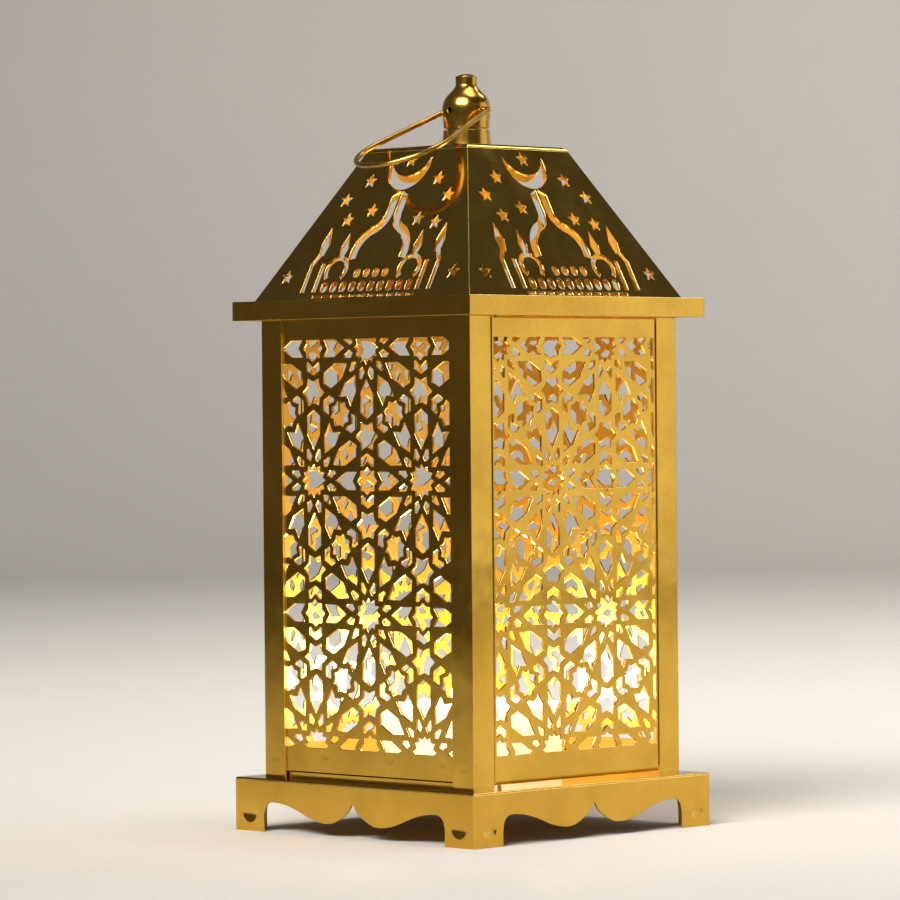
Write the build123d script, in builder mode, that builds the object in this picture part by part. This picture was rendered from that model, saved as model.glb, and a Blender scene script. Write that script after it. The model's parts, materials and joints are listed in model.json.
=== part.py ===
from build123d import *
import os
from math import acos, asin, atan2, cos, degrees, hypot, radians, sin, sqrt, tan

# A small square lantern of gold-coloured sheet metal on a bracket-footed plinth. Fretted panels close
# three sides, a fretted door closes the front, and a hipped roof carries a knob with a wire carrying loop.
# Millimetres, +Z up, origin under the middle of the plinth. The door faces -Y.

# Sheet and general clearances
sheet = 0.45
fold_radius = 0.4
pin_fit = 0.01
running_gap = 0.05

# Plinth
base_width = 70.0
plinth_height = 11.1
foot_width = 8.4
apron_arch_height = 6.25
apron_arch_inset = 2.8
apron_foot_rise = 2.6
apron_lobe_height = 2.7
apron_lobe_reach = 7.6
apron_cusp_height = 7.0
apron_cusp_lean = 18.0
apron_cusp_round = 0.45
apron_rim_round = 0.2
corner_tab_width = 4.5
foot_dent_width = 4.4
foot_dent_depth = 0.3
foot_dent_inset = 4.3
foot_dent_height = 4.0

# Body
plinth_ledge = 4.45
post_leg = 5.9
panel_bottom_gap = 1.2
panel_corner_gap = 0.15
window_side_gap = 0.05
window_bottom = 17.7
window_top = 102.0
sill_depth = 2.0
sill_height = 5.6
weld_mark_width = 2.2
weld_mark_depth = 0.035
rail_mark_height = 16.3
rail_mark_places = (-12.8, 6.2, 21.2)
post_mark_height = 15.4

# Fretwork: a hexagonal lattice of stars
star_pitch = 31.6
star_row_top = 100.3
panel_star_offsets = {"right": 15.0, "back": -9.7, "left": 0.3}
door_star_offset = 8.9
smallest_hole_area = 0.45

# Door
door_hinge_gap = 0.15
door_latch_gap = 0.3
door_top_gap = 0.4
door_bottom_gap = 0.75
door_roll_height = 0.8
door_roll_depth = 0.4
door_side_round = 0.4
door_side_margin = 0.7
hinge_inset = 2.65
hinge_pin_diameter = 0.9
knuckle_wall = 0.35
knuckle_length = 4.4
knuckle_end_gap = 0.4
leaf_width = 4.0
leaf_thickness = 0.4
stop_gap = 0.1
stop_end_gap = 0.6
stop_overlap = 0.65
stop_weld_width = 2.8

# Eave
eave_overhang = 4.3
eave_top = 110.25
eave_lip = 4.0
eave_frame_depth = 6.55

# Roof
roof_inset = 3.3
roof_run = 17.15
roof_height = 31.7
cap_height = 0.95
cap_edge_radius = 1.6

# Roof cut-outs, measured up the slope from the eave, drawn for a slope of this width and height
cutout_field_width = 63.1
cutout_field_height = 36.0
skyline_shift = 0.5
crescent_radius = 5.9
crescent_height = 31.5
crescent_bite = 3.2
small_star_radius = 1.7
small_star_valley = 0.8
slit_width = 1.05
dome_slit_width = 2.0
arcade_pitch = 2.75
arcade_window_width = 1.75
lower_arcade_count = 10
lower_arcade_bottom = 1.7
lower_arcade_top = 4.1
upper_arcade_count = 4
upper_arcade_bottom = 5.0
upper_arcade_top = 7.0
step_count = 11
step_width = 2.2
step_bottom = 0.4
step_top = 1.0

# Knob and carrying loop
knob_diameter = 10.1
knob_height = 15.5
knob_foot_diameter = 10.4
knob_foot_taper = 0.3
knob_foot_height = 3.7
knob_groove_depth = 0.7
knob_groove_width = 0.4
knob_tip_diameter = 4.5
knob_tip_height = 2.4
knob_shoulder_drop = 3.5
knob_bulge = 0.2
crown_rise = 0.6
stud_diameter = 3.0
stud_end = 1.4
washer_diameter = 7.0
washer_thickness = 0.6
nut_width = 5.5
nut_height = 2.4
wire_diameter = 1.1
loop_axis_height = 7.85
loop_length = 30.3
loop_end_radius = 10.7
loop_leg_spread = 6.8
loop_bend_radius = 1.4
loop_pin_depth = 1.7
loop_hole_gap = 0.08
loop_rest_gap = 1.0

# Tea light
light_diameter = 38.0
light_height = 14.0
light_wall = 1.2
light_rim_width = 2.0
light_dish_depth = 1.6
light_stand_gap = 0.05
light_corner_gap = 0.15
flame_diameter = 8.6
flame_height = 13.5
flame_flange = 1.2
flame_gap = 0.1
led_diameter = 5.0
led_length = 7.6
led_flange = 0.4
led_flange_height = 1.0
led_lead = 0.5
led_lead_spacing = 2.54
battery_diameter = 20.0
battery_height = 3.2
cover_thickness = 1.4
cover_gap = 0.1
switch_offset = 13.8
switch_travel = 2.0
switch_length = 3.0
switch_width = 2.4
switch_lip = 0.9
switch_plate = 0.8
switch_recess = 0.2
switch_gap = 0.1

# Derived levels and half sizes
base_half = base_width / 2
body_half = base_half - plinth_ledge
eave_half = body_half + eave_overhang
floor_top = plinth_height
eave_under = eave_top - sheet
eave_lip_bottom = eave_top - eave_lip
panel_bottom = floor_top + panel_bottom_gap
post_edge = body_half - post_leg
leg_inner = body_half - sheet
panel_half = leg_inner - sheet - panel_corner_gap
window_half = post_edge - window_side_gap
roof_bottom_half = eave_half - roof_inset
roof_top_half = roof_bottom_half - roof_run
roof_top = eave_top + roof_height
cap_seam = roof_top - cap_height
roof_lean = atan2(roof_bottom_half - roof_top_half, roof_height)
slope_length = roof_height / cos(roof_lean)
cap_half = roof_top_half + cap_height * tan(roof_lean)

# Each side is the front side turned about the upright axis
turns = {"front": 0, "right": 90, "back": 180, "left": 270}
upright = Plane(origin=(0, 0, 0), x_dir=(1, 0, 0), z_dir=(0, -1, 0))

os.makedirs("parts", exist_ok=True)


def save(piece, name):
    piece.part.label = name
    export_step(piece.part, f"parts/{name}.step")


def save_turned(piece, name, turn):
    with BuildPart() as turned:
        add(piece.part, rotation=(0, 0, turn), clean=False)
    save(turned, name)


def save_placed(piece, name, place):
    with BuildPart() as placed:
        with Locations(place):
            add(piece.part, clean=False)
    save(placed, name)


def star_points(count, outer, inner, first_angle=0.0):
    points = []
    for step in range(2 * count):
        radius = inner if step % 2 else outer
        angle = radians(first_angle + step * 180 / count)
        points.append((radius * cos(angle), radius * sin(angle)))
    return points


def turned_points(points, angle):
    turn = radians(angle)
    return [(u * cos(turn) - v * sin(turn), u * sin(turn) + v * cos(turn)) for u, v in points]


def moved_points(points, along, up):
    return [(u + along, v + up) for u, v in points]


def press_dents(places, face_distance, width, depth):
    ball_radius = (width**2 / 4 + depth**2) / (2 * depth)
    ball_distance = face_distance + ball_radius - depth
    with Locations(*[(along, -ball_distance, up) for along, up in places]):
        Sphere(ball_radius, mode=Mode.SUBTRACT)


# Plinth: a top plate on four bracket-shaped aprons
foot_inner = base_half - foot_width
arch_top = foot_inner - apron_arch_inset
apron_height = plinth_height - sheet
foot_dents = [(side * (base_half - foot_dent_inset), foot_dent_height) for side in (-1, 1)]


def apron_outline(half_width):
    fall_mid = ((arch_top + apron_lobe_reach) / 2, 0.54 * apron_arch_height + 0.46 * apron_lobe_height)
    cusp_mid = (0.36 * apron_lobe_reach, 0.60 * apron_lobe_height + 0.40 * apron_cusp_height)
    cusp_lean = radians(apron_cusp_lean)
    cusp_reach = apron_cusp_round * cos(cusp_lean)
    cusp_start = apron_cusp_height - apron_cusp_round * (1 - sin(cusp_lean))
    with BuildLine() as outline:
        ThreePointArc((cusp_reach, cusp_start), (0, apron_cusp_height), (-cusp_reach, cusp_start))
        Line((half_width, 0), (half_width, apron_height))
        Line((half_width, apron_height), (-half_width, apron_height))
        Line((-half_width, apron_height), (-half_width, 0))
        for side in (-1, 1):
            inward = (-side, 0)
            foot_top = (side * foot_inner, apron_foot_rise)
            arch = (side * arch_top, apron_arch_height)
            lobe = (side * apron_lobe_reach, apron_lobe_height)
            Line((side * half_width, 0), (side * foot_inner, 0))
            Line((side * foot_inner, 0), foot_top)
            Spline(foot_top, arch, tangents=[(0, 1), inward])
            Spline(arch, (side * fall_mid[0], fall_mid[1]), lobe, tangents=[inward, inward])
            into_cusp = (-side * sin(cusp_lean), cos(cusp_lean))
            cusp_side = (side * cusp_reach, cusp_start)
            Spline(lobe, (side * cusp_mid[0], cusp_mid[1]), cusp_side, tangents=[inward, into_cusp])
    make_face(outline.edges())


def round_rim(apron):
    outer_edges = apron.faces().sort_by(Axis.Y)[0].edges()
    low_edges = [edge for edge in outer_edges if edge.center().Z < apron_height - sheet]
    fillet([edge for edge in low_edges if abs(edge.center().X) < foot_inner + sheet], radius=apron_rim_round)


with BuildPart() as long_apron:
    with BuildSketch(upright.offset(base_half)):
        apron_outline(base_half)
    extrude(amount=-sheet)
    round_rim(long_apron)
    press_dents(foot_dents, base_half, foot_dent_width, foot_dent_depth)

for side in ("front", "back"):
    save_turned(long_apron, f"apron_{side}", turns[side])

# The side aprons fit between the other two and have welding tabs folded in behind their feet
with BuildPart() as short_apron:
    with BuildSketch(upright.offset(base_half)):
        apron_outline(base_half - sheet)
    extrude(amount=-sheet)
    round_rim(short_apron)
    with BuildSketch(Plane.XY):
        for side in (-1, 1):
            with Locations((side * (base_half - 1.5 * sheet), -base_half + sheet + corner_tab_width / 2)):
                Rectangle(sheet, corner_tab_width)
    extrude(amount=apron_height)
    press_dents(foot_dents, base_half, foot_dent_width, foot_dent_depth)

for side in ("right", "left"):
    save_turned(short_apron, f"apron_{side}", turns[side])

# Hinge line: inside the door's face, a little in from its hinged edge
knuckle_radius = hinge_pin_diameter / 2 + running_gap + knuckle_wall
door_left = -post_edge + door_hinge_gap
door_right = post_edge - door_latch_gap
door_top = eave_lip_bottom - door_top_gap
hinge_x = door_left + hinge_inset
hinge_y = -leg_inner + knuckle_radius
pin_hole_radius = hinge_pin_diameter / 2 + pin_fit

with BuildPart() as plinth_top:
    with BuildSketch(Plane.XY.offset(apron_height)):
        Rectangle(2 * base_half, 2 * base_half)
        with Locations((hinge_x, hinge_y)):
            Circle(pin_hole_radius, mode=Mode.SUBTRACT)
    extrude(amount=sheet)
    fillet(plinth_top.faces().sort_by(Axis.Z)[-1].outer_wire().edges(), radius=fold_radius)
save(plinth_top, "plinth_top")

# Corner posts: angle strips from the plinth to the eave
with BuildPart() as corner_post:
    with BuildSketch(Plane.XY.offset(floor_top)):
        with Locations((-body_half, -body_half)):
            Rectangle(post_leg, post_leg, align=(Align.MIN, Align.MIN))
        with Locations((-leg_inner, -leg_inner)):
            Rectangle(post_leg, post_leg, align=(Align.MIN, Align.MIN), mode=Mode.SUBTRACT)
    extrude(amount=eave_under - floor_top)
    leg_middle = body_half - post_leg / 2
    press_dents([(-leg_middle, post_mark_height)], body_half, weld_mark_width, weld_mark_depth)
    weld_ball = (weld_mark_width**2 / 4 + weld_mark_depth**2) / (2 * weld_mark_depth)
    with Locations((-body_half - weld_ball + weld_mark_depth, -leg_middle, post_mark_height)):
        Sphere(weld_ball, rotation=(0, 0, 90), mode=Mode.SUBTRACT)

post_turns = {"front_left": 0, "front_right": 90, "back_right": 180, "back_left": 270}
for corner, turn in post_turns.items():
    save_turned(corner_post, f"corner_post_{corner}", turn)

# Fretwork holes of one lattice cell, as shares of the star pitch
big_star = star_points(12, 0.111, 0.084)
edge_star = star_points(8, 0.090, 0.071)
hexagram = star_points(6, 0.103, 0.071)
dart = [(0.130, 0), (0.158, 0.0265), (0.213, 0.010), (0.213, -0.010), (0.158, -0.0265)]
long_hexagon = [(0.207, 0), (0.305, 0.060), (0.424, 0.060), (0.465, 0), (0.424, -0.060), (0.305, -0.060)]
fish = [(0.207, 0), (0.300, 0.058), (0.4015, 0.059), (0.362, 0), (0.4015, -0.059), (0.300, -0.058)]
chevron = [
    (0.180, 0), (0.1455, 0.060), (0.098, 0.060), (0.091, 0.046),
    (0.127, 0), (0.091, -0.046), (0.098, -0.060), (0.1455, -0.060),
]


def lattice_cell():
    holes = [big_star]
    for step in range(12):
        holes.append(turned_points(dart, 15 + 30 * step))
    for step in range(6):
        holes.append(turned_points(long_hexagon, 30 + 60 * step))
        holes.append(turned_points(fish, 60 * step))
    for step in range(3):
        edge_angle = 60 * step
        middle_x = 0.5 * cos(radians(edge_angle))
        middle_y = 0.5 * sin(radians(edge_angle))
        holes.append(moved_points(turned_points(edge_star, edge_angle), middle_x, middle_y))
        for side in (90, -90):
            holes.append(moved_points(turned_points(chevron, edge_angle + side), middle_x, middle_y))
    for side in (30, 90):
        centre_x = cos(radians(side)) / sqrt(3)
        centre_y = sin(radians(side)) / sqrt(3)
        holes.append(moved_points(hexagram, centre_x, centre_y))
    return holes


def fretwork(star_offset, half_width):
    row_height = star_pitch * sqrt(3) / 2
    row_count = int((star_row_top - window_bottom) / row_height) + 3
    column_count = int(half_width / star_pitch) + 2
    with BuildSketch(Plane.XY) as window:
        with Locations((0, (window_bottom + window_top) / 2)):
            Rectangle(2 * half_width, window_top - window_bottom)
    holes = []
    for row in range(-1, row_count):
        for column in range(-column_count, column_count + 1):
            site_x = star_offset + (column + 0.5 * (row % 2)) * star_pitch
            site_z = star_row_top - row * row_height
            for outline in lattice_cell():
                points = [(site_x + u * star_pitch, site_z + v * star_pitch) for u, v in outline]
                inside = [abs(x) < half_width and window_bottom < z < window_top for x, z in points]
                if all(inside):
                    holes.append(Face(Wire.make_polygon(points)))
                elif any(inside):
                    holes.extend((window.sketch & Face(Wire.make_polygon(points))).faces())
    return [hole.outer_wire() for hole in holes if hole.area > smallest_hole_area]


def fretted_sheet(left, right, bottom, top, holes):
    return Face(Wire.make_polygon([(left, bottom), (right, bottom), (right, top), (left, top)]), holes)


def round_foot(panel):
    foot_edges = panel.edges().filter_by(Axis.X).group_by(Axis.Z)[0]
    fillet(foot_edges.sort_by(Axis.Y)[0], radius=fold_radius)


# Fixed fretted panels, behind the legs of the posts, with weld marks along their bottom rails. Each is cut
# from the star lattice at its own place, so the stars of opposite panels do not line up.
rail_marks = [(along, rail_mark_height) for along in rail_mark_places]
for side, star_offset in panel_star_offsets.items():
    with BuildPart() as fret_panel:
        with BuildSketch(upright.offset(leg_inner)):
            panel_holes = fretwork(star_offset, window_half)
            add(fretted_sheet(-panel_half, panel_half, panel_bottom, eave_under, panel_holes))
        extrude(amount=-sheet)
        round_foot(fret_panel)
        press_dents(rail_marks, leg_inner, weld_mark_width, weld_mark_depth)
    save_turned(fret_panel, f"fret_panel_{side}", turns[side])

# Sill strips: angles on the plinth that close the slot under each fixed panel
sill_back = leg_inner - sheet
sill_web_half = sill_back - sheet - running_gap
sill_edge = sill_back - sill_depth
sill_foot_half = sill_edge - running_gap
with BuildPart() as sill_strip:
    with BuildSketch(Plane.YZ.offset(-sill_foot_half)):
        with Locations((-sill_back, floor_top)):
            Rectangle(sill_depth, sheet, align=(Align.MIN, Align.MIN))
    extrude(amount=2 * sill_foot_half)
    with BuildSketch(Plane.YZ.offset(-sill_web_half)):
        with Locations((-sill_back, floor_top)):
            Rectangle(sheet, sill_height, align=(Align.MIN, Align.MIN))
    extrude(amount=2 * sill_web_half)

for side in ("right", "back", "left"):
    save_turned(sill_strip, f"sill_strip_{side}", turns[side])

# Door: a fretted panel lying between the legs of the two front posts, its edges rolled under
door_bottom = floor_top + door_bottom_gap
door_middle = (door_left + door_right) / 2
door_half = (door_right - door_left) / 2
with BuildPart() as door_panel:
    with BuildSketch(upright.offset(body_half)):
        door_holes = fretwork(door_star_offset - door_middle, door_half - door_side_margin)
        with Locations((door_middle, 0)):
            add(fretted_sheet(-door_half, door_half, door_bottom, door_top, door_holes))
    extrude(amount=-sheet)
    upright_edges = door_panel.edges().filter_by(Axis.Z).group_by(Axis.X)
    side_edges = [edges.sort_by(Axis.Y)[0] for edges in (upright_edges[0], upright_edges[-1])]
    fillet(side_edges, radius=door_side_round)
    with BuildSketch(Plane.YZ.offset(door_left)):
        with BuildLine():
            roll_centre = (-body_half + door_roll_depth, door_bottom + door_roll_height)
            EllipticalCenterArc(roll_centre, door_roll_depth, door_roll_height, start_angle=180, arc_size=90)
            Line((-body_half + door_roll_depth, door_bottom), (-body_half, door_bottom))
            Line((-body_half, door_bottom), (-body_half, door_bottom + door_roll_height))
        make_face()
    extrude(amount=2 * door_half, mode=Mode.SUBTRACT)
    press_dents(rail_marks, body_half, weld_mark_width, weld_mark_depth)
save(door_panel, "door_panel")

# Hinge knuckles on the back of the door, with pins fixed in the plinth and the eave
lower_knuckle_start = panel_bottom + knuckle_end_gap
upper_knuckle_start = door_top - knuckle_end_gap - knuckle_length
knuckle_starts = {"lower": lower_knuckle_start, "upper": upper_knuckle_start}
for place, start in knuckle_starts.items():
    with BuildPart() as door_knuckle:
        with BuildSketch(Plane.XY.offset(start)):
            with Locations((hinge_x, hinge_y)):
                Circle(knuckle_radius)
            with Locations((hinge_x, -leg_inner)):
                Rectangle(leaf_width, leaf_thickness, align=(Align.MIN, Align.MIN))
            with Locations((hinge_x, hinge_y)):
                Circle(hinge_pin_diameter / 2 + running_gap, mode=Mode.SUBTRACT)
        extrude(amount=knuckle_length)
    save(door_knuckle, f"door_knuckle_{place}")

pin_spans = {
    "lower": (apron_height, lower_knuckle_start + knuckle_length),
    "upper": (upper_knuckle_start, eave_top),
}
for place, (low, high) in pin_spans.items():
    with BuildPart() as hinge_pin:
        with BuildSketch(Plane.XY.offset(low)):
            with Locations((hinge_x, hinge_y)):
                Circle(hinge_pin_diameter / 2)
        extrude(amount=high - low)
    save(hinge_pin, f"hinge_pin_{place}")

# Door stop: a stepped strip welded behind the right front post, along the door's free edge
with BuildPart() as door_stop:
    with BuildSketch(Plane.XY.offset(panel_bottom + stop_end_gap)):
        with Locations((post_edge, -leg_inner)):
            Rectangle(stop_weld_width, sheet + stop_gap, align=(Align.MIN, Align.MIN))
        with Locations((door_right - stop_overlap, -leg_inner + stop_gap)):
            tab_length = stop_overlap + door_latch_gap
            Rectangle(tab_length, sheet, align=(Align.MIN, Align.MIN))
    extrude(amount=door_top - panel_bottom - 2 * stop_end_gap)
save(door_stop, "door_stop")

# Eave: four mitred strips with a folded-down lip round a square opening
eave_opening_half = body_half - eave_frame_depth
lip_inner = eave_half - sheet


def mitred_strip(outer, inner):
    Polygon((-outer, -outer), (outer, -outer), (inner, -inner), (-inner, -inner), align=None)


for side, turn in turns.items():
    with BuildPart() as eave_strip:
        with BuildSketch(Plane.XY.offset(eave_under)):
            mitred_strip(eave_half, eave_opening_half)
            if side == "front":
                with Locations((hinge_x, hinge_y)):
                    Circle(pin_hole_radius, mode=Mode.SUBTRACT)
        extrude(amount=sheet)
        with BuildSketch(Plane.XY.offset(eave_lip_bottom)):
            mitred_strip(eave_half, lip_inner)
        extrude(amount=eave_lip)
    save_turned(eave_strip, f"eave_strip_{side}", turn)

# Roof cut-outs on one slope: a crescent with stars over a skyline of a dome, two small domes and minarets
small_stars = [
    (0, 32.6), (-10, 28), (10, 27.8), (-15.2, 23.7), (14.6, 23.8), (-6.1, 20.8),
    (-12.5, 18.9), (8.4, 18.4), (13.9, 17.4), (-24.2, 5.6), (24.4, 5.6),
]
staff_reach = 1.3
staff_tip = 25.3
staff_top = 24.2
staff_bottom = 20.6
dome_waist = (4.1, 16.2)
dome_waist_mid = (2.0, 17.9)
dome_flank_mid = (7.0, 12.9)
dome_foot = (7.3, 9.4)
small_dome_reach = 10.7
small_dome_level = 6.9
small_dome_radius = 2.8
small_dome_foot = 5.0
spire_base = small_dome_level + small_dome_radius
spire_shoulder = 12.2
spire_tip = 15.6
spire_half = 1.2
minaret_outer = 18.5
minaret_inner = 15.1
minaret_foot = 1.8
minaret_shoulder = 8.6
minaret_neck = (17.2, 10.9)
minaret_bulge = 13.2
minaret_tip = 17.2
minaret_half = 1.25


def arcade(count, pitch, width, bottom, top, rounded):
    with Locations((skyline_shift, (bottom + top) / 2)):
        with GridLocations(pitch, 1, count, 1):
            if rounded:
                RectangleRounded(width, top - bottom, width * 0.42)
            else:
                Rectangle(width, top - bottom)


def skyline_half(side):
    def place(point):
        return (skyline_shift + side * point[0], point[1])

    with BuildLine() as dome_slit:
        Line(place((staff_reach, staff_top)), place((staff_reach, staff_bottom)))
        ThreePointArc(place((staff_reach, staff_bottom)), place(dome_waist_mid), place(dome_waist))
        ThreePointArc(place(dome_waist), place(dome_flank_mid), place(dome_foot))
    trace(dome_slit.line, line_width=dome_slit_width)
    staff_inner = staff_reach - dome_slit_width / 2
    staff_point = [(staff_inner, staff_top), (staff_inner + dome_slit_width, staff_top), (staff_inner, staff_tip)]
    Polygon(*[place(point) for point in staff_point], align=None)
    foot_reach = sqrt(small_dome_radius**2 - (small_dome_level - small_dome_foot) ** 2)
    with BuildLine() as arch_slit:
        ThreePointArc(
            place((small_dome_reach - foot_reach, small_dome_foot)),
            place((small_dome_reach, small_dome_level + small_dome_radius)),
            place((small_dome_reach + foot_reach, small_dome_foot)),
        )
    trace(arch_slit.line, line_width=slit_width)
    spire = [
        (small_dome_reach - slit_width / 2, spire_base),
        (small_dome_reach + slit_width / 2, spire_base),
        (small_dome_reach + spire_half, spire_shoulder),
        (small_dome_reach, spire_tip),
        (small_dome_reach - spire_half, spire_shoulder),
    ]
    Polygon(*[place(point) for point in spire], align=None)
    with BuildLine() as outer_slit:
        Polyline(
            place((minaret_outer, minaret_foot)), place((minaret_outer, minaret_shoulder)), place(minaret_neck)
        )
    trace(outer_slit.line, line_width=slit_width)
    with BuildLine() as inner_slit:
        Line(place((minaret_inner, minaret_foot)), place((minaret_inner, minaret_shoulder)))
    trace(inner_slit.line, line_width=slit_width)
    minaret_axis = (minaret_outer + minaret_inner) / 2
    minaret_cap = [
        (minaret_axis - slit_width / 2, minaret_neck[1] - slit_width / 2),
        (minaret_neck[0] + slit_width / 2, minaret_neck[1]),
        (minaret_axis + minaret_half, minaret_bulge),
        (minaret_axis, minaret_tip),
        (minaret_axis - minaret_half, minaret_bulge),
    ]
    Polygon(*[place(point) for point in minaret_cap], align=None)


def roof_cutouts():
    with BuildSketch(Plane.XY) as cutouts:
        with Locations((0, crescent_height)):
            Circle(crescent_radius)
        with Locations((0, crescent_height + crescent_bite)):
            Circle(crescent_radius, mode=Mode.SUBTRACT)
        with Locations(*small_stars):
            Polygon(*star_points(5, small_star_radius, small_star_valley, 90), align=None)
        for side in (-1, 1):
            skyline_half(side)
        arcade(lower_arcade_count, arcade_pitch, arcade_window_width, lower_arcade_bottom, lower_arcade_top, True)
        arcade(upper_arcade_count, arcade_pitch, arcade_window_width, upper_arcade_bottom, upper_arcade_top, True)
        arcade(step_count, arcade_pitch, step_width, step_bottom, step_top, False)
    fit_width = 2 * roof_bottom_half / cutout_field_width
    fit_height = slope_length / cutout_field_height
    return scale(cutouts.sketch, by=min(fit_width, fit_height)).faces()


# Roof slopes: flat mitred panels standing on the eave
slope_overrun = 2.0
slope_plane = Plane(
    origin=(0, -roof_bottom_half, eave_top),
    x_dir=(1, 0, 0),
    z_dir=(0, -cos(roof_lean), sin(roof_lean)),
)
slope_cutouts = roof_cutouts()
with BuildPart() as roof_panel:
    with BuildSketch(slope_plane):
        with Locations((0, -slope_overrun)):
            Rectangle(2.4 * roof_bottom_half, slope_length + 2 * slope_overrun, align=(Align.CENTER, Align.MIN))
        add(slope_cutouts, mode=Mode.SUBTRACT)
    extrude(amount=-sheet)
    split(bisect_by=Plane(origin=(0, 0, 0), z_dir=(1, -1, 0)), keep=Keep.TOP)
    split(bisect_by=Plane(origin=(0, 0, 0), z_dir=(-1, -1, 0)), keep=Keep.TOP)
    split(bisect_by=Plane(origin=(0, 0, eave_top), z_dir=(0, 0, 1)), keep=Keep.TOP)
    split(bisect_by=Plane(origin=(0, 0, cap_seam), z_dir=(0, 0, 1)), keep=Keep.BOTTOM)

for side, turn in turns.items():
    save_turned(roof_panel, f"roof_panel_{side}", turn)

# Roof cap: a shallow stamped lid with rounded edges, drilled for the knob's stud
stud_hole_radius = stud_diameter / 2 + running_gap
hollow_depth = 2 * cap_height
hollow_half = cap_half - sheet / cos(roof_lean) + hollow_depth * tan(roof_lean)
with BuildPart() as cap_hollow:
    with BuildSketch(Plane.XY.offset(cap_seam - hollow_depth)):
        Rectangle(2 * hollow_half, 2 * hollow_half)
    extrude(amount=hollow_depth + cap_height - sheet, taper=degrees(roof_lean))
    fillet(cap_hollow.faces().sort_by(Axis.Z)[-1].edges(), radius=cap_edge_radius - sheet)

with BuildPart() as roof_cap:
    with BuildSketch(Plane.XY.offset(cap_seam)):
        Rectangle(2 * cap_half, 2 * cap_half)
    extrude(amount=cap_height, taper=degrees(roof_lean))
    fillet(roof_cap.faces().sort_by(Axis.Z)[-1].edges(), radius=cap_edge_radius)
    add(cap_hollow.part, mode=Mode.SUBTRACT)
    with BuildSketch(Plane.XY.offset(cap_seam)):
        Circle(stud_hole_radius)
    extrude(amount=2 * cap_height, mode=Mode.SUBTRACT)
save(roof_cap, "roof_cap")

# Knob: a turned finial with a threaded stud, cross-drilled both ways for the carrying loop
loop_axis = roof_top + loop_axis_height
loop_hole_radius = wire_diameter / 2 + loop_hole_gap
stud_length = sheet + washer_thickness + nut_height + stud_end
with BuildPart() as finial:
    with BuildSketch(Plane.XZ):
        with BuildLine():
            foot_radius = knob_foot_diameter / 2
            foot_top_radius = foot_radius - knob_foot_taper
            groove_radius = foot_top_radius - knob_groove_depth
            bulb_radius = knob_diameter / 2
            tip_radius = knob_tip_diameter / 2
            foot_end = roof_top + knob_foot_height
            bulb_start = foot_end + knob_groove_width
            knob_top = roof_top + knob_height
            tip_start = knob_top - knob_tip_height
            shoulder = tip_start - knob_shoulder_drop
            bulb_edge = bulb_radius - knob_bulge
            Polyline((0, roof_top - stud_length), (stud_diameter / 2, roof_top - stud_length),
                     (stud_diameter / 2, roof_top), (foot_radius, roof_top), (foot_top_radius, foot_end),
                     (groove_radius, foot_end), (groove_radius, bulb_start), (bulb_edge, bulb_start))
            narrowing = bulb_edge - tip_radius
            shoulder_low = (bulb_edge - 0.24 * narrowing, shoulder + 0.33 * knob_shoulder_drop)
            shoulder_high = (bulb_edge - 0.62 * narrowing, shoulder + 0.62 * knob_shoulder_drop)
            Spline((bulb_edge, bulb_start), (bulb_radius, 0.4 * bulb_start + 0.6 * shoulder),
                   (bulb_edge, shoulder), shoulder_low, shoulder_high, (tip_radius, tip_start))
            Line((tip_radius, tip_start), (tip_radius, knob_top - crown_rise))
            crown_radius = (tip_radius**2 + crown_rise**2) / (2 * crown_rise)
            RadiusArc((tip_radius, knob_top - crown_rise), (0, knob_top), -crown_radius)
            Line((0, knob_top), (0, roof_top - stud_length))
        make_face()
    revolve(axis=Axis.Z)
    with BuildSketch(Plane.XZ):
        with Locations((0, loop_axis)):
            Circle(loop_hole_radius)
    extrude(amount=knob_diameter, both=True, mode=Mode.SUBTRACT)
    with BuildSketch(Plane.YZ):
        with Locations((0, loop_axis)):
            Circle(loop_hole_radius)
    extrude(amount=knob_diameter, both=True, mode=Mode.SUBTRACT)
save(finial, "finial")

cap_under = roof_top - sheet
with BuildPart() as finial_washer:
    with BuildSketch(Plane.XY.offset(cap_under - washer_thickness)):
        Circle(washer_diameter / 2)
        Circle(stud_hole_radius, mode=Mode.SUBTRACT)
    extrude(amount=washer_thickness)
save(finial_washer, "finial_washer")

with BuildPart() as finial_nut:
    with BuildSketch(Plane.XY.offset(cap_under - washer_thickness - nut_height)):
        RegularPolygon(nut_width / 2, 6, major_radius=False)
        Circle(stud_diameter / 2 + pin_fit, mode=Mode.SUBTRACT)
    extrude(amount=nut_height)
save(finial_nut, "finial_nut")

# Carrying loop: one bent wire whose ends turn into the knob, lying on the roof cap's left edge
edge_centre_drop = loop_axis - (roof_top - cap_edge_radius)
edge_centre_reach = roof_top_half + cap_edge_radius * tan(roof_lean) - cap_edge_radius / cos(roof_lean)
rest_distance = cap_edge_radius + wire_diameter / 2 + loop_rest_gap
edge_direction = atan2(edge_centre_reach, edge_centre_drop)
loop_tilt = acos(rest_distance / hypot(edge_centre_drop, edge_centre_reach)) - edge_direction
loop_plane = Plane(
    origin=(0, 0, loop_axis),
    x_dir=(-cos(loop_tilt), 0, -sin(loop_tilt)),
    z_dir=(sin(loop_tilt), 0, -cos(loop_tilt)),
)
end_centre = loop_length - loop_end_radius
leg_distance = hypot(end_centre, loop_leg_spread)
leg_angle = asin(loop_end_radius / leg_distance) - atan2(loop_leg_spread, end_centre)
tangent_point = (
    end_centre - loop_end_radius * sin(leg_angle),
    loop_end_radius * cos(leg_angle),
)
pin_end = knob_diameter / 2 - loop_pin_depth
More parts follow.
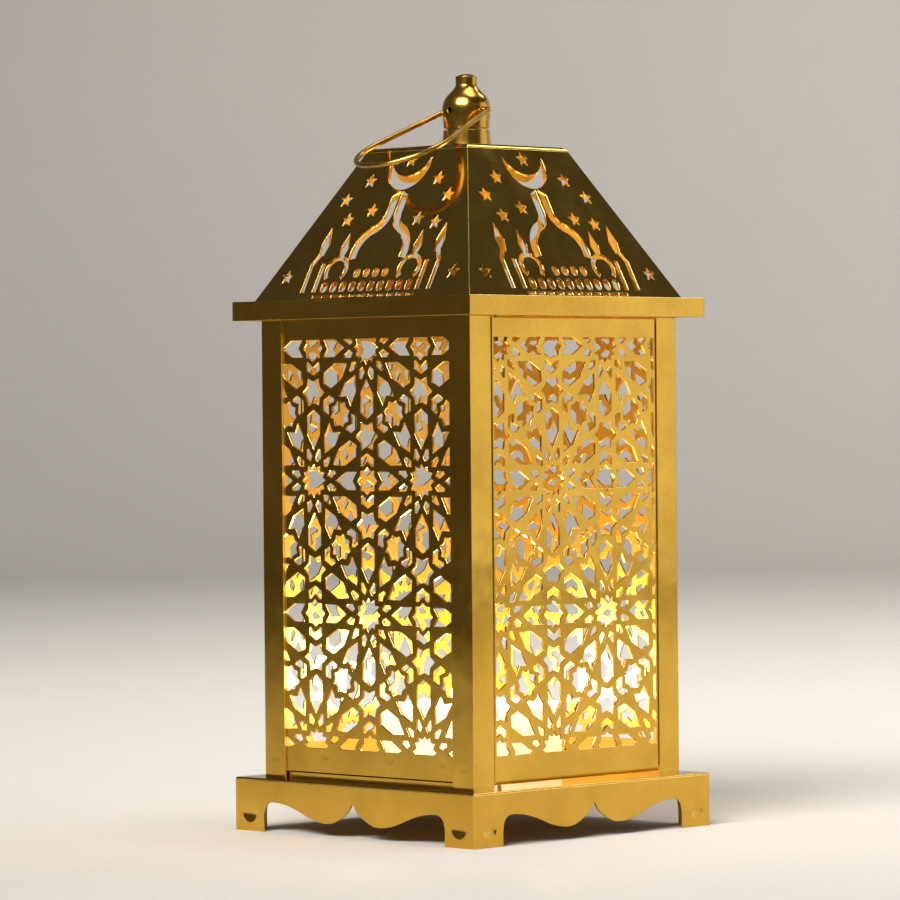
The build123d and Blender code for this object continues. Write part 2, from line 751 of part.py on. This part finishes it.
with BuildPart() as bail:
    with BuildLine(loop_plane) as wire_path:
        near_leg = FilletPolyline((0, -pin_end), (0, -loop_leg_spread), (tangent_point[0], -tangent_point[1]),
                                  radius=loop_bend_radius)
        loop_end = ThreePointArc((tangent_point[0], -tangent_point[1]), (loop_length, 0), tangent_point)
        far_leg = FilletPolyline(tangent_point, (0, loop_leg_spread), (0, pin_end), radius=loop_bend_radius)
    with BuildSketch(Plane(origin=wire_path.wire() @ 0, z_dir=wire_path.wire() % 0)):
        Circle(wire_diameter / 2)
    sweep(path=wire_path.wire())
save(bail, "bail")

# Tea light: a cup with a dished top, closed below by a cover, with a flame lens over its lamp. It is drawn
# round the upright axis and stands pushed into the back right corner, against the sill strips.
light_base = floor_top + light_stand_gap
light_radius = light_diameter / 2
light_shift = sill_edge - light_radius - light_corner_gap
light_place = (light_shift, light_shift, 0)
light_inner = light_radius - light_wall
light_top = light_base + light_height
dish_level = light_top - light_dish_depth
dish_under = dish_level - light_wall
rim_radius = light_radius - light_rim_width
flame_radius = flame_diameter / 2
lens_hole = flame_radius + flame_gap
with BuildPart() as tealight_shell:
    with BuildSketch(Plane.XZ):
        with BuildLine():
            Polyline((light_inner, light_base), (light_radius, light_base), (light_radius, light_top),
                     (rim_radius, light_top), (rim_radius - light_dish_depth, dish_level),
                     (lens_hole, dish_level), (lens_hole, dish_under), (light_inner, dish_under), close=True)
        make_face()
    revolve(axis=Axis.Z)
save_placed(tealight_shell, "tealight_shell", light_place)

flange_bottom = dish_under - flame_flange
flame_bulge = dish_level + 0.3 * flame_height
flame_tip = light_top + flame_height
lamp_pocket = led_diameter / 2 + flame_gap
lamp_top = flange_bottom + led_length
with BuildPart() as tealight_flame:
    with BuildSketch(Plane.XZ):
        with BuildLine():
            Polyline((lamp_pocket, flange_bottom), (flame_radius + flame_flange, flange_bottom),
                     (flame_radius + flame_flange, dish_under), (flame_radius, dish_under),
                     (flame_radius, flame_bulge))
            flame_mid = (flame_radius * 0.55, flame_bulge + 0.58 * (flame_tip - flame_bulge))
            Spline((flame_radius, flame_bulge), flame_mid, (0, flame_tip))
            Polyline((0, flame_tip), (0, lamp_top + flame_gap), (lamp_pocket, lamp_top + flame_gap),
                     (lamp_pocket, flange_bottom))
        make_face()
    revolve(axis=Axis.Z)
save_placed(tealight_flame, "tealight_flame", light_place)

cover_top = light_base + cover_thickness
battery_top = cover_top + battery_height
lamp_base = flange_bottom - led_flange_height
lamp_shoulder = lamp_top - led_diameter / 2
with BuildPart() as tealight_led:
    with BuildSketch(Plane.XZ):
        with BuildLine():
            Polyline((0, lamp_base), (led_diameter / 2 + led_flange, lamp_base),
                     (led_diameter / 2 + led_flange, flange_bottom), (led_diameter / 2, flange_bottom),
                     (led_diameter / 2, lamp_shoulder))
            RadiusArc((led_diameter / 2, lamp_shoulder), (0, lamp_top), -led_diameter / 2)
            Line((0, lamp_top), (0, lamp_base))
        make_face()
    revolve(axis=Axis.Z)
    with BuildSketch(Plane.XY.offset(battery_top)):
        with GridLocations(led_lead_spacing, 1, 2, 1):
            Rectangle(led_lead, led_lead)
    extrude(amount=lamp_base - battery_top)
save_placed(tealight_led, "tealight_led", light_place)

with BuildPart() as tealight_battery:
    with BuildSketch(Plane.XY.offset(cover_top)):
        Circle(battery_diameter / 2)
    extrude(amount=battery_height)
save_placed(tealight_battery, "tealight_battery", light_place)

# The cover has a slot for the sliding switch, whose plate lies on the cover's inner side
slot_length = switch_length + switch_travel + 2 * switch_gap
slot_width = switch_width + 2 * switch_gap
with BuildPart() as tealight_cover:
    with BuildSketch(Plane.XY.offset(light_base)):
        Circle(light_inner - cover_gap)
        with Locations((switch_travel / 2, switch_offset)):
            Rectangle(slot_length, slot_width, mode=Mode.SUBTRACT)
    extrude(amount=cover_thickness)
save_placed(tealight_cover, "tealight_cover", light_place)

with BuildPart() as tealight_switch:
    with BuildSketch(Plane.XY.offset(light_base + switch_recess)):
        with Locations((0, switch_offset)):
            Rectangle(switch_length, switch_width)
    extrude(amount=cover_thickness - switch_recess + running_gap)
    with BuildSketch(Plane.XY.offset(cover_top + running_gap)):
        with Locations((0, switch_offset)):
            Rectangle(switch_length + 2 * switch_lip, switch_width + 2 * switch_lip)
    extrude(amount=switch_plate)
save_placed(tealight_switch, "tealight_switch", light_place)
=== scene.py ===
import json
import math

import bmesh
import bpy
from mathutils import Matrix, Vector

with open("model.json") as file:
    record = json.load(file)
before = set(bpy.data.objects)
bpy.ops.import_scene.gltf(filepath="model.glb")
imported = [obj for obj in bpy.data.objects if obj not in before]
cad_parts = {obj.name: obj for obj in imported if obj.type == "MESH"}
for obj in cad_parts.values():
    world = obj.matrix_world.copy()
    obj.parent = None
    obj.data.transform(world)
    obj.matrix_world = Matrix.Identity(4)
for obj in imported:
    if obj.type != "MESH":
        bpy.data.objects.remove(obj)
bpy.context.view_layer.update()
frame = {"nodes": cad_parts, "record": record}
scene = bpy.context.scene
scene.view_settings.view_transform = "Standard"
print("frame loaded:", len(frame["nodes"]), "nodes")


# Small helpers for shader trees
def addNode(tree, kind, place, **settings):
    node = tree.nodes.new(kind)
    node.location = place
    for name, value in settings.items():
        setattr(node, name, value)
    return node


def join(tree, fromSocket, toSocket):
    tree.links.new(fromSocket, toSocket)


def newFinish(name):
    finish = bpy.data.materials.new(name)
    finish.use_nodes = True
    tree = finish.node_tree
    return finish, tree, tree.nodes["Principled BSDF"]


def newEffect(name, inputs, outputs):
    tree = bpy.data.node_groups.new(name, "ShaderNodeTree")
    for label, kind, value in inputs:
        socket = tree.interface.new_socket(label, in_out="INPUT", socket_type=kind)
        socket.default_value = value
    for label, kind in outputs:
        tree.interface.new_socket(label, in_out="OUTPUT", socket_type=kind)
    entry = addNode(tree, "NodeGroupInput", (-1200, 0))
    leave = addNode(tree, "NodeGroupOutput", (900, 0))
    return tree, entry, leave


# A noise pattern is its scale per metre, its detail and its roughness
def noiseAt(tree, coords, pattern, place, stretch=None):
    if stretch:
        mapping = addNode(tree, "ShaderNodeMapping", (place[0] - 200, place[1]))
        mapping.inputs["Scale"].default_value = stretch
        join(tree, coords, mapping.inputs["Vector"])
        coords = mapping.outputs["Vector"]
    noise = addNode(tree, "ShaderNodeTexNoise", place)
    for name, level in zip(("Scale", "Detail", "Roughness"), pattern):
        noise.inputs[name].default_value = level
    join(tree, coords, noise.inputs["Vector"])
    return noise.outputs["Fac"]


# Carries a span of values to another one, or to a mask from none to all
def remap(tree, value, span, place, target=(0.0, 1.0)):
    node = addNode(tree, "ShaderNodeMapRange", place)
    for name, level in zip(("From Min", "From Max", "To Min", "To Max"), (*span, *target)):
        node.inputs[name].default_value = level
    join(tree, value, node.inputs["Value"])
    return node.outputs["Result"]


def mathOf(tree, operation, first, second, place):
    node = addNode(tree, "ShaderNodeMath", place, operation=operation)
    for socket, value in zip(node.inputs, (first, second)):
        if isinstance(value, (int, float)):
            socket.default_value = value
        else:
            join(tree, value, socket)
    return node.outputs["Value"]


def blendColours(tree, factor, first, second, place, mode="MIX"):
    node = addNode(tree, "ShaderNodeMix", place, data_type="RGBA", blend_type=mode)
    for name, value in (("Factor", factor), ("A", first), ("B", second)):
        socket = next(s for s in node.inputs if s.name == name and s.enabled)
        if isinstance(value, (int, float, tuple)):
            socket.default_value = value
        else:
            join(tree, value, socket)
    return next(s for s in node.outputs if s.enabled)


# Plating on thin metal: cloudy tone, hand smears, rolling lines and a slight ripple
def makePlating():
    plating = {
        "cloud": (60.0, 5.0, 0.6),
        "cloudSpan": (0.32, 0.68),
        "smear": (150.0, 7.0, 0.65),
        "smearSpan": (0.42, 0.72),
        "ripple": (85.0, 2.0, 0.4),
        "grain": (3200.0, 2.0, 0.5),
        "grainSpan": (0.3, 0.7),
        "grainTone": (0.93, 1.05),
        "grainHeight": 0.006,
        "rolling": (1.0, 3.0, 0.6),
        "rollStretch": (2600.0, 2600.0, 45.0),      # per metre
        "rollSpan": (0.35, 0.7),
        "rollRoughness": (-0.015, 0.03),
        "rollHeight": 0.005,
    }
    tree, entry, leave = newEffect(
        "platedMetal",
        [
            ("Pale Tone", "NodeSocketColor", (0.8, 0.55, 0.2, 1.0)),
            ("Deep Tone", "NodeSocketColor", (0.6, 0.36, 0.1, 1.0)),
            ("Clean Roughness", "NodeSocketFloat", 0.2),
            ("Smeared Roughness", "NodeSocketFloat", 0.35),
        ],
        [("Color", "NodeSocketColor"), ("Roughness", "NodeSocketFloat"), ("Height", "NodeSocketFloat")],
    )
    coords = addNode(tree, "ShaderNodeTexCoord", (-1200, -300)).outputs["Object"]
    cloud = noiseAt(tree, coords, plating["cloud"], (-700, 300))
    smear = noiseAt(tree, coords, plating["smear"], (-700, 0))
    ripple = noiseAt(tree, coords, plating["ripple"], (-700, -300))
    grain = noiseAt(tree, coords, plating["grain"], (-700, -600))
    rolling = noiseAt(tree, coords, plating["rolling"], (-700, -900), plating["rollStretch"])
    paleTone = entry.outputs["Pale Tone"]
    deepTone = entry.outputs["Deep Tone"]
    cloudMask = remap(tree, cloud, plating["cloudSpan"], (-400, 300))
    tone = blendColours(tree, cloudMask, deepTone, paleTone, (-150, 300))
    speck = remap(tree, grain, plating["grainSpan"], (-400, 120), plating["grainTone"])
    speckled = blendColours(tree, 1.0, tone, speck, (100, 300), "MULTIPLY")
    join(tree, speckled, leave.inputs["Color"])
    cleanRough = entry.outputs["Clean Roughness"]
    smearedRough = entry.outputs["Smeared Roughness"]
    smearMask = remap(tree, smear, plating["smearSpan"], (-400, 0))
    lines = remap(tree, rolling, plating["rollSpan"], (-400, -900), plating["rollRoughness"])
    gap = mathOf(tree, "SUBTRACT", smearedRough, cleanRough, (-150, 0))
    dulled = mathOf(tree, "MULTIPLY", smearMask, gap, (50, 0))
    rough = mathOf(tree, "ADD", cleanRough, dulled, (250, 0))
    rough = mathOf(tree, "ADD", rough, lines, (450, 0))
    join(tree, rough, leave.inputs["Roughness"])
    grainRise = mathOf(tree, "MULTIPLY", grain, plating["grainHeight"], (-150, -600))
    rollRise = mathOf(tree, "MULTIPLY", rolling, plating["rollHeight"], (-150, -900))
    height = mathOf(tree, "ADD", ripple, grainRise, (50, -400))
    height = mathOf(tree, "ADD", height, rollRise, (250, -400))
    join(tree, height, leave.inputs["Height"])
    return tree


# Moulded plastic: faint mottling and a fine spark-eroded grain
def makeMouldGrain():
    mould = {
        "mottle": (240.0, 4.0, 0.6),
        "mottleSpan": (0.35, 0.65),
        "grain": (5200.0, 2.0, 0.5),
        "grainSpan": (0.3, 0.7),
        "roughness": (0.38, 0.52),
    }
    tree, entry, leave = newEffect(
        "mouldGrain",
        [
            ("Light Tone", "NodeSocketColor", (0.9, 0.9, 0.85, 1.0)),
            ("Dark Tone", "NodeSocketColor", (0.8, 0.8, 0.75, 1.0)),
        ],
        [("Color", "NodeSocketColor"), ("Roughness", "NodeSocketFloat"), ("Height", "NodeSocketFloat")],
    )
    coords = addNode(tree, "ShaderNodeTexCoord", (-1200, -300)).outputs["Object"]
    mottle = noiseAt(tree, coords, mould["mottle"], (-700, 300))
    grain = noiseAt(tree, coords, mould["grain"], (-700, -100))
    lightTone = entry.outputs["Light Tone"]
    darkTone = entry.outputs["Dark Tone"]
    mottleMask = remap(tree, mottle, mould["mottleSpan"], (-400, 300))
    tone = blendColours(tree, mottleMask, darkTone, lightTone, (-100, 300))
    join(tree, tone, leave.inputs["Color"])
    rough = remap(tree, grain, mould["grainSpan"], (-400, 0), mould["roughness"])
    join(tree, rough, leave.inputs["Roughness"])
    join(tree, grain, leave.inputs["Height"])
    return tree


platedMetal = makePlating()
mouldGrain = makeMouldGrain()
print("shared effects built")


# Edges of metal, rounded in shading and painted paler where the rounding turns away from the face:
# partly rubbed wear, partly a painted highlight
edgeWearAndHighlight = {"samples": 4, "matchSpan": (0.995, 0.8)}


def wornAndHighlightedEdges(tree, radius, place):
    rounding = addNode(tree, "ShaderNodeBevel", place, samples=edgeWearAndHighlight["samples"])
    rounding.inputs["Radius"].default_value = radius
    flat = addNode(tree, "ShaderNodeNewGeometry", (place[0], place[1] - 200))
    match = addNode(tree, "ShaderNodeVectorMath", (place[0] + 200, place[1]), operation="DOT_PRODUCT")
    join(tree, rounding.outputs["Normal"], match.inputs[0])
    join(tree, flat.outputs["Normal"], match.inputs[1])
    mask = remap(tree, match.outputs["Value"], edgeWearAndHighlight["matchSpan"], (place[0] + 400, place[1]))
    return rounding.outputs["Normal"], mask


# The sheet is polished outside only: faces turned to the lantern's upright axis are satin and paler.
# The inside span is how far a face's plane stands from that axis, below nought where it is turned to it.
def dullInside(tree, colour, rough, look):
    levelParts = (1.0, 1.0, 0.0)
    coords = addNode(tree, "ShaderNodeTexCoord", (-1100, 900))
    outward = addNode(tree, "ShaderNodeVectorMath", (-900, 900), operation="MULTIPLY")
    outward.inputs[1].default_value = levelParts
    join(tree, coords.outputs["Object"], outward.inputs[0])
    turned = addNode(tree, "ShaderNodeVectorMath", (-700, 800), operation="DOT_PRODUCT")
    join(tree, outward.outputs["Vector"], turned.inputs[0])
    join(tree, coords.outputs["Normal"], turned.inputs[1])
    inside = remap(tree, turned.outputs["Value"], look["insideSpan"], (-500, 800))
    mix = addNode(tree, "ShaderNodeMix", (-250, 700), data_type="FLOAT")
    join(tree, inside, mix.inputs[0])
    join(tree, rough, mix.inputs[2])
    mix.inputs[3].default_value = look["insideRoughness"]
    return blendColours(tree, inside, colour, look["insideTone"], (-100, 500)), mix.outputs[0]


# Gold-coloured sheet, knob and wire, and the plain steel of the hinge pins, nut, washer and battery
def metalFinish(name, look):
    finish, tree, shader = newFinish(name)
    effect = addNode(tree, "ShaderNodeGroup", (-700, 200), node_tree=platedMetal)
    effect.inputs["Pale Tone"].default_value = look["paleTone"]
    effect.inputs["Deep Tone"].default_value = look["deepTone"]
    effect.inputs["Clean Roughness"].default_value = look["cleanRoughness"]
    effect.inputs["Smeared Roughness"].default_value = look["smearedRoughness"]
    edgeNormal, edgeWearAndHighlightMask = wornAndHighlightedEdges(tree, look["edgeRadius"], (-1100, -200))
    edgeWearAndHighlightShare = mathOf(tree, "MULTIPLY", edgeWearAndHighlightMask, look["edgeWearAndHighlightShare"], (-450, -100))
    # Paler edge tone: partly rubbed wear, partly a painted highlight along the edges
    colour = blendColours(tree, edgeWearAndHighlightShare, effect.outputs["Color"], look["edgeWearAndHighlightTone"], (-300, 300))
    rough = effect.outputs["Roughness"]
    if "insideTone" in look:
        colour, rough = dullInside(tree, colour, rough, look)
    join(tree, colour, shader.inputs["Base Color"])
    join(tree, rough, shader.inputs["Roughness"])
    shader.inputs["Metallic"].default_value = 1.0
    shader.inputs["Coat Weight"].default_value = look.get("lacquer", 0.0)
    shader.inputs["Coat Roughness"].default_value = look.get("lacquerRoughness", 0.0)
    bump = addNode(tree, "ShaderNodeBump", (-300, -300))
    bump.inputs["Strength"].default_value = look["rippleStrength"]
    bump.inputs["Distance"].default_value = look["rippleDepth"]
    join(tree, effect.outputs["Height"], bump.inputs["Height"])
    join(tree, edgeNormal, bump.inputs["Normal"])
    join(tree, bump.outputs["Normal"], shader.inputs["Normal"])
    return finish, tree, shader, bump


goldSheet = {
    "paleTone": (0.72, 0.43, 0.048, 1.0),
    "deepTone": (0.58, 0.325, 0.03, 1.0),
    # Edge tone and share paint the edges paler: partly rubbed wear, partly a painted highlight
    "edgeWearAndHighlightTone": (0.94, 0.70, 0.25, 1.0),
    "edgeWearAndHighlightShare": 0.7,
    "edgeRadius": 0.0002,
    "cleanRoughness": 0.08,
    "smearedRoughness": 0.17,
    "insideTone": (0.84, 0.58, 0.12, 1.0),
    "insideRoughness": 0.40,
    "insideSpan": (-0.006, -0.012),     # metres
    "lacquer": 0.3,
    "lacquerRoughness": 0.04,
    "rippleStrength": 0.35,
    "rippleDepth": 0.0003,
}
goldTurned = {
    "paleTone": (0.66, 0.39, 0.065, 1.0),
    "deepTone": (0.50, 0.28, 0.04, 1.0),
    "edgeWearAndHighlightTone": (0.86, 0.62, 0.20, 1.0),
    "edgeWearAndHighlightShare": 0.5,
    "edgeRadius": 0.0003,
    "cleanRoughness": 0.15,
    "smearedRoughness": 0.27,
    "rippleStrength": 0.15,
    "rippleDepth": 0.0002,
    "ringScale": 1500.0,
    "ringWaver": 1.5,
    "ringStrength": 0.04,
    "ringDepth": 0.00004,
}
goldWire = {
    "paleTone": (0.60, 0.36, 0.07, 1.0),
    "deepTone": (0.40, 0.225, 0.04, 1.0),
    "edgeWearAndHighlightTone": (0.8, 0.55, 0.18, 1.0),
    "edgeWearAndHighlightShare": 0.2,
    "edgeRadius": 0.0003,
    "cleanRoughness": 0.22,
    "smearedRoughness": 0.42,
    "rippleStrength": 0.25,
    "rippleDepth": 0.0002,
}


# Fine lathe rings round the knob, on top of its plating
def turnedFinish():
    finish, tree, shader, bump = metalFinish("goldTurned", goldTurned)
    coords = addNode(tree, "ShaderNodeTexCoord", (-1100, -700)).outputs["Object"]
    rings = addNode(tree, "ShaderNodeTexWave", (-800, -700), bands_direction="Z")
    rings.inputs["Scale"].default_value = goldTurned["ringScale"]
    rings.inputs["Distortion"].default_value = goldTurned["ringWaver"]
    join(tree, coords, rings.inputs["Vector"])
    ringBump = addNode(tree, "ShaderNodeBump", (-100, -500))
    ringBump.inputs["Strength"].default_value = goldTurned["ringStrength"]
    ringBump.inputs["Distance"].default_value = goldTurned["ringDepth"]
    join(tree, rings.outputs["Fac"], ringBump.inputs["Height"])
    join(tree, bump.outputs["Normal"], ringBump.inputs["Normal"])
    join(tree, ringBump.outputs["Normal"], shader.inputs["Normal"])
    return finish


steelLook = {
    "paleTone": (0.72, 0.72, 0.70, 1.0),
    "deepTone": (0.55, 0.55, 0.54, 1.0),
    "edgeWearAndHighlightTone": (0.85, 0.85, 0.84, 1.0),
    "edgeWearAndHighlightShare": 0.3,
    "edgeRadius": 0.00012,
    "cleanRoughness": 0.28,
    "smearedRoughness": 0.44,
    "rippleStrength": 0.2,
    "rippleDepth": 0.0002,
}
batteryLook = dict(
    steelLook,
    paleTone=(0.78, 0.78, 0.77, 1.0),
    deepTone=(0.62, 0.62, 0.62, 1.0),
    cleanRoughness=0.22,
)


# Plastic of the tea light: the white cup scatters a little light within it, and carries a painted glow
# for the flame's light coming through, more towards its rim
plasticBody = {"grainDepth": 0.00005, "scatterReach": (0.004, 0.003, 0.002)}      # metres


def plasticFinish(name, look):
    finish, tree, shader = newFinish(name)
    effect = addNode(tree, "ShaderNodeGroup", (-500, 200), node_tree=mouldGrain)
    effect.inputs["Light Tone"].default_value = look["lightTone"]
    effect.inputs["Dark Tone"].default_value = look["darkTone"]
    join(tree, effect.outputs["Color"], shader.inputs["Base Color"])
    join(tree, effect.outputs["Roughness"], shader.inputs["Roughness"])
    bump = addNode(tree, "ShaderNodeBump", (-250, -300))
    bump.inputs["Strength"].default_value = look["grainStrength"]
    bump.inputs["Distance"].default_value = plasticBody["grainDepth"]
    join(tree, effect.outputs["Height"], bump.inputs["Height"])
    join(tree, bump.outputs["Normal"], shader.inputs["Normal"])
    shader.inputs["Subsurface Weight"].default_value = look["subsurface"]
    shader.inputs["Subsurface Radius"].default_value = plasticBody["scatterReach"]
    # Painted glow: emission on the cup, stronger higher up, standing for the flame's light showing
    # through
    if "paintedGlowColour" in look:
        coords = addNode(tree, "ShaderNodeTexCoord", (-1000, -600)).outputs["Object"]
        split = addNode(tree, "ShaderNodeSeparateXYZ", (-800, -600))
        join(tree, coords, split.inputs["Vector"])
        paintedGlowStrength = remap(tree, split.outputs["Z"], look["paintedGlowLevels"], (-600, -600), look["paintedGlowStrength"])
        join(tree, paintedGlowStrength, shader.inputs["Emission Strength"])
        shader.inputs["Emission Color"].default_value = look["paintedGlowColour"]
    return finish


whitePlastic = {
    "lightTone": (0.86, 0.83, 0.75, 1.0),
    "darkTone": (0.78, 0.74, 0.65, 1.0),
    "grainStrength": 0.15,
    "subsurface": 0.15,
    # Painted glow of the cup, in place of light showing through it
    "paintedGlowColour": (1.0, 0.80, 0.46, 1.0),
    "paintedGlowLevels": (0.011, 0.025),      # metres
    "paintedGlowStrength": (0.6, 1.5),
}
blackPlastic = {
    "lightTone": (0.035, 0.034, 0.033, 1.0),
    "darkTone": (0.02, 0.02, 0.02, 1.0),
    "grainStrength": 0.3,
    "subsurface": 0.0,
}


# The lens over the lamp: frosted amber, lit from inside, paler low down and deeper at the tip
flameGlow = {
    "lowTone": (1.0, 0.84, 0.48, 1.0),
    "tipTone": (1.0, 0.76, 0.36, 1.0),
    "levels": (0.024, 0.0386),      # metres
    "frost": (900.0, 3.0, 0.5),
    "frostSpan": (0.3, 0.7),
    "frostTone": (0.85, 1.0),
    "frostRoughness": (0.35, 0.5),
    "strength": 260.0,
}


def glowFinish(name, look):
    finish, tree, shader = newFinish(name)
    coords = addNode(tree, "ShaderNodeTexCoord", (-1000, 0)).outputs["Object"]
    split = addNode(tree, "ShaderNodeSeparateXYZ", (-800, 0))
    join(tree, coords, split.inputs["Vector"])
    rise = remap(tree, split.outputs["Z"], look["levels"], (-600, 0))
    frost = noiseAt(tree, coords, look["frost"], (-800, -300))
    colour = blendColours(tree, rise, look["lowTone"], look["tipTone"], (-300, 100))
    frosted = remap(tree, frost, look["frostSpan"], (-600, -300), look["frostTone"])
    glow = blendColours(tree, 1.0, colour, frosted, (-100, 0), "MULTIPLY")
    join(tree, colour, shader.inputs["Base Color"])
    join(tree, glow, shader.inputs["Emission Color"])
    rough = remap(tree, frost, look["frostSpan"], (-600, -500), look["frostRoughness"])
    join(tree, rough, shader.inputs["Roughness"])
    shader.inputs["Emission Strength"].default_value = look["strength"]
    return finish


lampGlow = dict(
    flameGlow,
    lowTone=(1.0, 0.8, 0.45, 1.0),
    tipTone=(1.0, 0.7, 0.3, 1.0),
    strength=10.0,
)

# One finish for each material slot of the record
finishes = {
    "gold_sheet": metalFinish("goldSheet", goldSheet)[0],
    "gold_turned": turnedFinish(),
    "gold_wire": metalFinish("goldWire", goldWire)[0],
    "bright_steel": metalFinish("brightSteel", steelLook)[0],
    "battery_steel": metalFinish("batterySteel", batteryLook)[0],
    "white_plastic": plasticFinish("whitePlastic", whitePlastic),
    "black_plastic": plasticFinish("blackPlastic", blackPlastic),
    "flame_lens": glowFinish("flameLens", flameGlow),
    "lamp_lens": glowFinish("lampLens", lampGlow),
}

for subpart in frame["record"]["subparts"]:
    node = frame["nodes"][subpart["node"]]
    finish = finishes[subpart["material_slot"]]
    if not node.material_slots:
        node.data.materials.append(finish)
    for slot in node.material_slots:
        slot.material = finish


# A round pale studio: a flat floor that sweeps up into a wall
studio = {
    "floorMiddle": 0.25,        # metres
    "floorRadius": 1.5,
    "sweepRadius": 0.7,
    "wallTop": 1.1,
    "sweepSteps": 12,
    "roundSteps": 96,
    "paint": (0.70, 0.66, 0.60, 1.0),
    "paintDark": (0.67, 0.63, 0.57, 1.0),
    "mottle": (6.0, 3.0, 0.5),
    "roughness": 0.7,
    "specular": 0.2,
    "mergeReach": 1e-6,
}


def makeStudio():
    build = bmesh.new()
    points = [(0.0, 0.0), (studio["floorMiddle"], 0.0), (studio["floorRadius"], 0.0)]
    for step in range(1, studio["sweepSteps"] + 1):
        bend = math.radians(90.0 * step / studio["sweepSteps"])
        reach = studio["floorRadius"] + studio["sweepRadius"] * math.sin(bend)
        points.append((reach, studio["sweepRadius"] * (1 - math.cos(bend))))
    points.append((studio["floorRadius"] + studio["sweepRadius"], studio["wallTop"]))
    corners = [build.verts.new((reach, 0.0, level)) for reach, level in points]
    edges = [build.edges.new(pair) for pair in zip(corners, corners[1:])]
    bmesh.ops.spin(
        build, geom=corners + edges, cent=(0, 0, 0), axis=(0, 0, 1), dvec=(0, 0, 0),
        angle=math.tau, steps=studio["roundSteps"], use_merge=True,
    )
    bmesh.ops.remove_doubles(build, verts=build.verts, dist=studio["mergeReach"])
    bmesh.ops.recalc_face_normals(build, faces=build.faces)
    for face in build.faces:
        face.smooth = True
    mesh = bpy.data.meshes.new("studioSweep")
    build.to_mesh(mesh)
    build.free()
    sweep = bpy.data.objects.new("studioSweep", mesh)
    scene.collection.objects.link(sweep)
    finish, tree, shader = newFinish("studioPaint")
    coords = addNode(tree, "ShaderNodeTexCoord", (-900, 0)).outputs["Object"]
    mottle = noiseAt(tree, coords, studio["mottle"], (-700, 0))
    paint = blendColours(tree, mottle, studio["paintDark"], studio["paint"], (-300, 0))
    join(tree, paint, shader.inputs["Base Color"])
    shader.inputs["Roughness"].default_value = studio["roughness"]
    shader.inputs["Specular IOR Level"].default_value = studio["specular"]
    mesh.materials.append(finish)


makeStudio()


# Soft lamps: a broad one high on the left that shines across, a softbox facing the door, a weak one
# overhead, and a small high one behind on the right that glints along the folded edges.
# Places and sizes are in metres, spreads in degrees.
lamps = [
    {
        "name": "broadLamp", "place": (-0.95, -0.35, 1.15), "aim": (1.0, 0.25, 0.42),
        "size": (1.0, 1.0), "watts": 18.0, "spread": 84.0,
    },
    {
        "name": "doorSoftbox", "place": (0.89, -0.875, 0.36), "aim": (0.0, 0.015, 0.36),
        "size": (0.95, 0.70), "watts": 1.15, "spread": 150.0,
    },
    {
        "name": "topLamp", "place": (0.5, -0.2, 1.7), "aim": (0.6, -0.2, 0.0),
        "size": (1.0, 1.0), "watts": 3.0, "spread": 70.0,
    },
    {
        "name": "edgeLamp", "place": (1.15, -0.13, 1.2), "aim": (0.0, 0.0, 0.06),
        "size": (0.4, 0.4), "watts": 1.0, "spread": 120.0,
    },
]


def hangLamp(lamp):
    data = bpy.data.lights.new(lamp["name"], "AREA")
    data.shape = "RECTANGLE"
    data.size, data.size_y = lamp["size"]
    data.energy = lamp["watts"]
    data.spread = math.radians(lamp["spread"])
    holder = bpy.data.objects.new(lamp["name"], data)
    scene.collection.objects.link(holder)
    place = Vector(lamp["place"])
    aim = Vector(lamp["aim"]) - place
    holder.matrix_world = Matrix.Translation(place) @ aim.to_track_quat("-Z", "Y").to_matrix().to_4x4()
    holder.visible_camera = False


for lamp in lamps:
    hangLamp(lamp)

roomLight = {"colour": (0.80, 0.82, 0.86, 1.0), "strength": 0.10}
world = bpy.data.worlds.new("studioRoom")
scene.world = world
world.use_nodes = True
background = world.node_tree.nodes["Background"]
background.inputs["Color"].default_value = roomLight["colour"]
background.inputs["Strength"].default_value = roomLight["strength"]
print("studio lit")


# The camera stands where the photograph was taken from
cameraFit = {
    "azimuth": -45.29,      # degrees round from the door
    "distance": 0.9727,     # metres from the upright axis
    "height": 0.0878,       # metres
    "pan": 0.241,           # degrees
    "pitch": -0.521,        # degrees
    "roll": 0.512,          # degrees
    "lens": 186.2,          # millimetres
    "sensor": 36.0,         # millimetres
}


def placeCamera():
    data = bpy.data.cameras.new("photoCamera")
    data.sensor_width = cameraFit["sensor"]
    data.lens = cameraFit["lens"]
    camera = bpy.data.objects.new("photoCamera", data)
    scene.collection.objects.link(camera)
    swing = math.radians(cameraFit["azimuth"])
    back = Vector((math.sin(swing), -math.cos(swing), 0.0))
    up = Vector((0.0, 0.0, 1.0))
    panTurn = Matrix.Rotation(math.radians(cameraFit["pan"]), 3, up)
    forward = panTurn @ -back
    right = forward.cross(up)
    pitchTurn = Matrix.Rotation(math.radians(cameraFit["pitch"]), 3, right)
    forward = pitchTurn @ forward
    up = pitchTurn @ up
    rollTurn = Matrix.Rotation(math.radians(cameraFit["roll"]), 3, forward)
    right = rollTurn @ right
    up = rollTurn @ up
    axes = Matrix((right, up, -forward)).transposed().to_4x4()
    place = back * cameraFit["distance"] + Vector((0.0, 0.0, cameraFit["height"]))
    camera.matrix_world = Matrix.Translation(place) @ axes
    scene.camera = camera


placeCamera()
print("camera placed")
